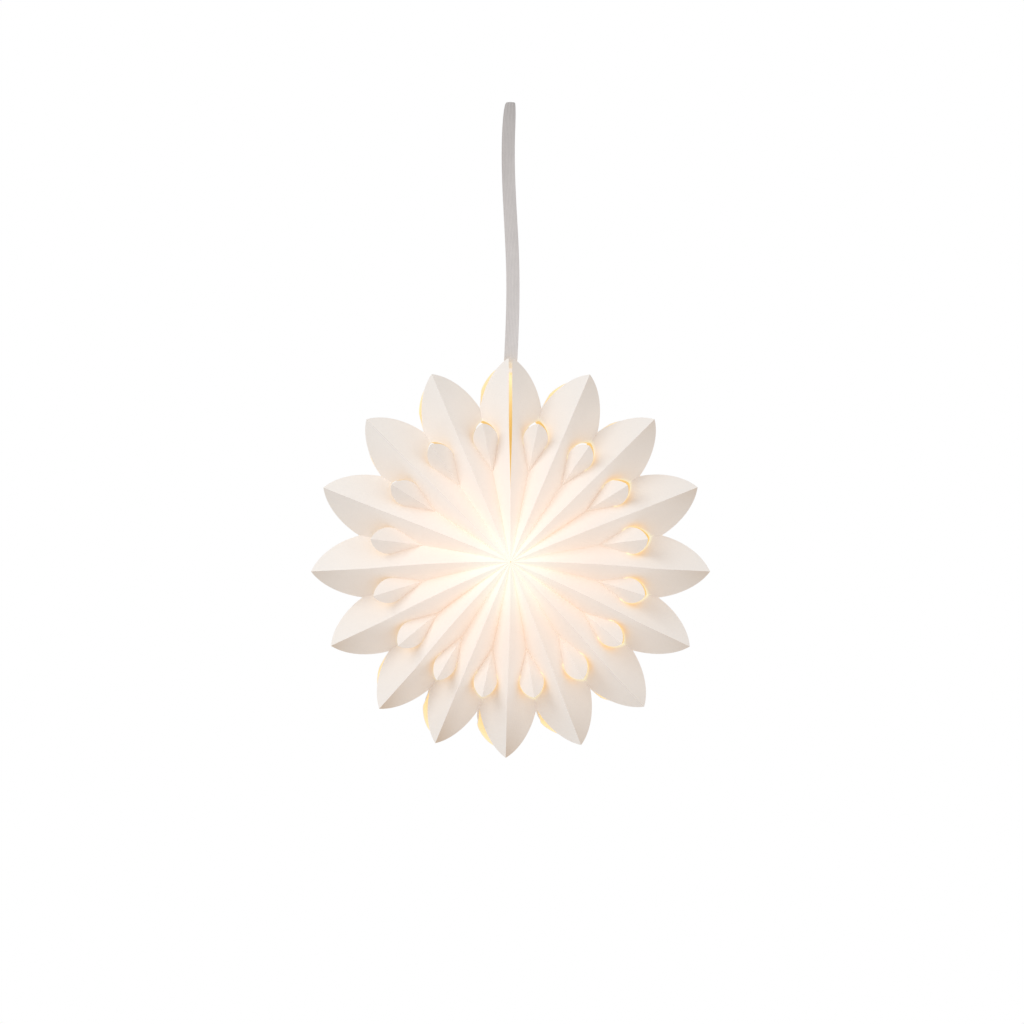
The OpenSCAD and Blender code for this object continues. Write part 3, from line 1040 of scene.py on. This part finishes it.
        piece = mesh_piece(f"{side.word}_sheet_{number:02d}", world,
                           faces[:, ::-1] if side is Side.BACK else faces,
                           dict(zip(LAYERS, np.concatenate(values, axis=1))))
        for finish in self.finishes():
            piece.data.materials.append(finish.material())
        on_ridge = read(piece.data.attributes["ridge"].data, "value", np.float32)
        thicken(piece, plan.thickness, -1.0, inner_slot=1, thin=on_ridge > 0.5)
        self.face_tongue(piece.data)
        return piece

    @staticmethod
    def face_tongue(mesh: bpy.types.Mesh) -> None:
        """Give the tongue's reverse, which stands outside the star, the outer finish.

        Args:
            mesh: A thickened sheet whose attribute tongue is 1 on the tongue's points.
        """
        on_tongue = read(mesh.attributes["tongue"].data, "value", np.float32)
        corners = read(mesh.loops, "vertex_index")
        start, total, slots = (read(mesh.polygons, label)
                               for label in ("loop_start", "loop_total", "material_index"))
        share = np.add.reduceat(on_tongue[corners], start) / total
        mesh.polygons.foreach_set("material_index", np.where(share >= 0.5, 0, slots).astype(np.int32))

    def uncurled(self, tongue: Grid, layout: SheetGrid, side: Side, angle: float) -> Grid:
        """Return a tongue whose free end reaches further out over its hole.

        Args:
            tongue: The tongue's points in the sheet's own frame.
            layout: The sheet's grid.
            side: The sheet's half of the star.
            angle: The sheet's direction in the star's plane.
        """
        past_crease = (np.arange(len(tongue)) - layout.crease_cells) / layout.round_cells
        front, left, back = self.reach
        reach = front + left * max(0.0, -math.cos(angle)) if side is Side.FRONT else back
        moved = tongue.copy()
        moved[..., 0] += reach * np.clip(past_crease, 0, 1)[:, None] ** self.uncurl
        return moved

    def painted(self, layout: SheetGrid, flat: Grid, along: Grid, across: Grid, angle: float,
                hand: int) -> Grid:
        """Return the value of each of the layers on a wall, 0 to 1.

        With g the gap to the hole's curved edge, the light beside the hole is exp(-(g / its reach)^2),
        strongest beside the tongue's shoulders, and so is the light on the edge.

        Args:
            layout: The sheet's grid.
            flat: The wall's flat points.
            along: Share of the way from hub to rim, for each row.
            across: Share of the way from fold line to ridge, for each column.
            angle: The sheet's direction in the star's plane.
            hand: 1 or -1 for the sheet's two walls.
        """
        curve = layout.hole_edge()[layout.crease_cells:]
        gaps = np.linalg.norm(flat[:, :, None] - curve, axis=-1)
        middle, width = self.shoulder
        shoulder = np.exp(-((np.linspace(0, 1, len(curve)) - middle) / width) ** 2)
        beside = (np.exp(-(gaps / self.leak_reach) ** 2) * shoulder).max(axis=2)
        edge = np.exp(-(gaps.min(axis=2) / self.edge_reach) ** 2)
        rim = np.broadcast_to(along[:, None] ** self.rim_power, edge.shape)
        faces = angle - hand * math.radians(self.wall_turn_deg)
        shade = max(0.0, math.cos(faces - math.radians(self.shade_side_deg))) * self.tip.at(angle)
        to_tip, to_ridge = self.tip_powers
        tip = way(along, self.tip_start, 1)[:, None] ** to_tip * across[None, :] ** to_ridge
        ridge = np.zeros(edge.shape)
        ridge[:, -1] = 1.0
        return np.stack([beside * self.leak.at(angle), edge * self.edge.at(angle), rim, tip * shade,
                         ridge, np.zeros(edge.shape)])

    def build(self) -> None:
        """Make and place every sheet."""
        for side in Side:
            for number in range(1, self.plan.petal_count + 1):
                piece = self.build_sheet(side, number)
                finish_piece(piece, Body.STAR, "star_paper", f"{side.word}_fold_{number:02d}")
                self.pieces.append(piece)


# ---------------------------------------------------------------- the ribbon


@dataclass
class RibbonLoop:
    """The ribbon, doubled over its hook, with both ends inside the top petal.

    Attributes:
        width: Width of the ribbon.
        thickness: Its thickness.
        loop_r: Middle radius of the bend over the hook.
        foot_y: Half the distance between the two strands where they enter the petal.
        foot_z: Height of that place.
        tail: Length of each glued end.
        tail_lean: How far a tail moves out over its length.
        sway: Sideways sway of the hanging strands.
        sway_power: Power that moves the sway's turning place along them.
        dome: How far the ribbon's edges sag beside the bend.
        pinch: Share by which the bend is drawn together over its hook.
        pinch_length: Height over which the ribbon spreads out again.
        cup: How far the cloth's middle stands out of the line of its edges.
        cup_length: Length over which that changes side.
        gathers: Small waves across the drawn-in bend.
        cells: Points of the middle line along a tail, a strand and half the bend.
        rows: Points of the mesh along the ribbon.
        columns: Points of the mesh across it.
        finish: Its woven finish.
    """

    width: float = 0.010
    thickness: float = 0.0005
    loop_r: float = 0.00425
    foot_y: float = 0.01755
    foot_z: float = -0.201
    tail: float = 0.0045
    tail_lean: float = -0.0003
    sway: float = 0.0018
    sway_power: float = 0.87
    dome: float = 0.0003
    pinch: float = 0.34
    pinch_length: float = 0.007
    cup: float = 0.0004
    cup_length: float = 0.019
    gathers: float = 3.5
    cells: tuple[int, int, int] = (13, 160, 40)
    rows: int = 420
    columns: int = 25
    finish: WovenRibbon = WovenRibbon("woven_ribbon_grey", (0.68, 0.635, 0.615), roughness=0.85,
                                      depth=0.12, clouds=90.0, flecks=2500.0, specular=0.2)

    def centre_line(self) -> Grid:
        """Return the line along the ribbon's middle, as (y, z) from the front tail to the back one.

        The bend is a half circle whose ends meet a straight strand to each foot, and a tail runs on
        from the foot, along the inside of the petal's ridge.
        """
        centre = -self.loop_r - self.thickness / 2
        reach = math.hypot(self.foot_y, centre - self.foot_z)
        lean = math.atan2(self.foot_y, centre - self.foot_z) - math.asin(self.loop_r / reach)
        tail_cells, strand_cells, bend_cells = self.cells
        turn = np.linspace(-lean, math.pi / 2, bend_cells)
        bend = np.stack([-self.loop_r * np.cos(turn), centre + self.loop_r * np.sin(turn)], -1)
        foot = np.array([-self.foot_y, self.foot_z])
        strand = foot + np.linspace(0, 1, strand_cells)[:-1, None] * (bend[0] - foot)
        end = foot + np.array([-self.tail_lean, -self.tail])
        tail = end + np.linspace(0, 1, tail_cells)[:-1, None] * (foot - end)
        half = np.concatenate([tail, strand, bend])
        return np.concatenate([half, (half * [-1, 1])[-2::-1]])

    def build(self) -> None:
        """Sweep the ribbon's width along its middle line.

        Across the width, at w from -0.5 to 0.5, the point moves w times the width along X, less the
        pinch near the top; X sways with a slow sine of the height; the edges sag near the top by
        the dome times (2w) squared; and the drawn-in cloth stands in small waves of w.
        """
        line = self.centre_line()
        steps = np.concatenate([[0], np.cumsum(np.linalg.norm(np.diff(line, axis=0), axis=1))])
        even = np.linspace(0, steps[-1], self.rows)
        y, z = (np.interp(even, steps, line[:, i]) for i in (0, 1))
        w = np.linspace(-0.5, 0.5, self.columns)
        down = np.clip(z / self.foot_z, 0, 1)
        middle = -self.sway * np.sin(2 * math.pi * down ** self.sway_power)
        top = np.exp(z / self.pinch_length)
        narrow = 1 - self.pinch * top
        x = middle[:, None] + self.width * narrow[:, None] * w[None, :]
        sag = self.dome * top[:, None] * (2 * w[None, :]) ** 2
        cup = np.sin(even / self.cup_length)[:, None] * (1 - (2 * w[None, :]) ** 2) * (1 - top[:, None])
        cup += top[:, None] * np.cos(2 * math.pi * self.gathers * w[None, :]) * np.sign(y)[:, None]
        points = np.stack([x, y[:, None] + self.cup * cup, z[:, None] - sag], -1)
        points[..., 2] = np.minimum(points[..., 2], -self.thickness / 2)
        weave = np.stack(np.broadcast_arrays(w[None, :] + 0.5, even[:, None] / steps[-1]), -1)
        piece = mesh_piece("ribbon", points.reshape(-1, 3), grid_quads(self.rows, self.columns),
                           uv=weave.reshape(-1, 2))
        piece.data.materials.append(self.finish.material())
        thicken(piece, self.thickness, 0.0, sharp_deg=50.0)
        finish_piece(piece, Body.STAR, "woven_ribbon", "ribbon_loop")


# ---------------------------------------------------------------- the light unit


@dataclass
class LightUnit:
    """The battery light inside the star: its CAD nodes with their finishes."""

    finishes: dict[str, Finish] = field(default_factory=lambda: {
        # The case and the battery cover are no lamps: their glow is painted light from the LEDs.
        "light_case": GlowingFinish("frosted_case_plastic_painted_glow", (0.92, 0.90, 0.86), roughness=0.55,
                                    depth=0.08, strength=0.5, glow=(1.0, 0.66, 0.36)),
        "battery_cover": GlowingFinish("cover_satin_plastic_painted_glow", (0.85, 0.84, 0.82), roughness=0.5,
                                       depth=0.08, strength=0.35, glow=(1.0, 0.62, 0.25)),
        "cell_cradle": Finish("cradle_plastic_grey", (0.66, 0.66, 0.64), depth=0.1),
        "battery": Finish("cell_jacket_green", (0.05, 0.20, 0.12), roughness=0.35, depth=0.15,
                          flecks=600.0, metallic=0.6, coat=0.3),
        "contact": Finish("brushed_contact", (0.68, 0.67, 0.64), roughness=0.3, depth=0.25,
                          stretch=(0.1, 1.0, 1.0), metallic=1.0),
        "driver_board": Finish("board_green_lacquer", (0.03, 0.16, 0.07), roughness=0.4, depth=0.3,
                               coat=0.4),
        "led_strip": Finish("strip_amber_film", (0.72, 0.55, 0.25), roughness=0.35, depth=0.2, coat=0.3),
        "leds": GlowingFinish("led_warm_white", (1.0, 0.86, 0.58), roughness=0.2, strength=6.0),
        "switch_body": Finish("switch_black_plastic", (0.035, 0.035, 0.037), roughness=0.45, depth=0.3),
        "switch_slider": Finish("slider_black_plastic", (0.02, 0.02, 0.021), roughness=0.38, depth=0.4),
    })

    def dress(self, nodes: dict[str, bpy.types.Object]) -> None:
        """Give each node of the light unit its finish.

        Args:
            nodes: The CAD nodes by name.
        """
        for name, node in nodes.items():
            for part, finish in self.finishes.items():
                if name.startswith(part) or (part == "contact" and part in name):
                    node.data.materials.clear()
                    node.data.materials.append(finish.material())
                    log.info("%s: %s", name, finish.name)


# ---------------------------------------------------------------- the studio


@dataclass
class Studio:
    """Camera, lamps, pale floor and white surroundings.

    Attributes:
        distance: From the camera to the front petals' tips.
        front_y: Depth of those tips.
        eye: The camera's X and Z.
        lens_mm: Focal length on a 36 mm sensor.
        aim_z: Height of the point that the lamps aim at.
        floor_z: Height of the floor.
        floor_radius: Its radius, small enough to stay out of the camera's own view.
        ambient: Strength of the surroundings as a lamp.
    """

    distance: float = 1.1
    front_y: float = -0.024
    eye: tuple[float, float] = (0.0011, -0.314)
    lens_mm: float = 51.56
    aim_z: float = -0.35
    floor_z: float = -0.95
    floor_radius: float = 0.62
    ambient: float = 0.68

    def camera(self) -> None:
        """Place the camera level with a point above the star and make it the scene's own."""
        data = bpy.data.cameras.new("camera")
        data.sensor_width = 36.0
        data.lens = self.lens_mm
        data.clip_start = 0.01
        camera = add_object("camera", data)
        camera.location = (self.eye[0], self.front_y - self.distance, self.eye[1])
        camera.rotation_euler = (math.pi / 2, 0.0, 0.0)
        bpy.context.scene.camera = camera

    def lamp(self, name: str, place: Triple, size: float, watts: float, colour: Triple) -> None:
        """Add a square lamp that points at the star.

        Args:
            name: Its name.
            place: Its position.
            size: Side of the square.
            watts: Its power.
            colour: Its colour.
        """
        data = bpy.data.lights.new(name, "AREA")
        data.size, data.energy, data.color = size, watts, colour
        lamp = add_object(name, data)
        aim = np.array([0.0, 0.0, self.aim_z]) - np.array(place)
        flat = math.hypot(aim[0], aim[1])
        lamp.location = place
        lamp.rotation_euler = (math.atan2(flat, -aim[2]), 0.0, math.atan2(aim[1], aim[0]) - math.pi / 2)

    def surroundings(self) -> None:
        """Make the world: white to the camera and to reflections, and a soft grey as a lamp."""
        world = bpy.data.worlds.new("pale_studio")
        world.use_nodes = True
        bench = NodeBench(world.node_tree)
        background = world.node_tree.nodes["Background"]
        path = bench.add("ShaderNodeLightPath").outputs
        seen = bench.math("MAXIMUM", path["Is Camera Ray"],
                          bench.math("MAXIMUM", path["Is Glossy Ray"], path["Is Transmission Ray"]))
        bench.fill(background, {"Color": (1.0, 1.0, 1.0, 1.0),
                                "Strength": bench.ramp(seen, 0.0, 1.0, self.ambient, 1.0)})
        bpy.context.scene.world = world

    def floor(self) -> None:
        """Lay a round pale floor under the star: rings of points, radius by angle."""
        radius = np.linspace(0.0, self.floor_radius, 12)[:, None]
        turn = np.linspace(0, 2 * math.pi, 49)[None, :]
        x, y = radius * np.cos(turn), radius * np.sin(turn)
        points = np.stack([x, y, np.full(x.shape, self.floor_z)], -1)
        piece = mesh_piece("floor", points.reshape(-1, 3), grid_quads(*x.shape))
        finish = FadingFloor("pale_floor", (0.95, 0.95, 0.95), roughness=0.7, depth=0.03, clouds=6.0,
                             flecks=200.0, bump=0.0002)
        piece.data.materials.append(finish.material())

    def build(self) -> None:
        """Set up the camera, the surroundings, the lamps and the floor."""
        self.camera()
        bpy.context.scene.view_settings.view_transform = "Standard"
        self.surroundings()
        self.lamp("key", (-0.63, -0.66, 0.22), 0.6, 3.6, (0.94, 0.97, 1.0))
        self.lamp("fill", (1.4, -1.3, -0.3), 1.4, 4.0, (1.0, 0.99, 0.98))
        self.lamp("rim", (0.3, 1.6, 0.6), 1.2, 7.0, (1.0, 1.0, 1.0))
        self.floor()


def main() -> None:
    """Build the studio and the dressed star."""
    logging.basicConfig(level=logging.INFO, format="%(name)s: %(message)s")
    Studio().build()
    RibbonLoop().build()
    PaperStar(FoldPlan()).build()
    LightUnit().dress(frame["nodes"])


if __name__ == "__main__":
    main()
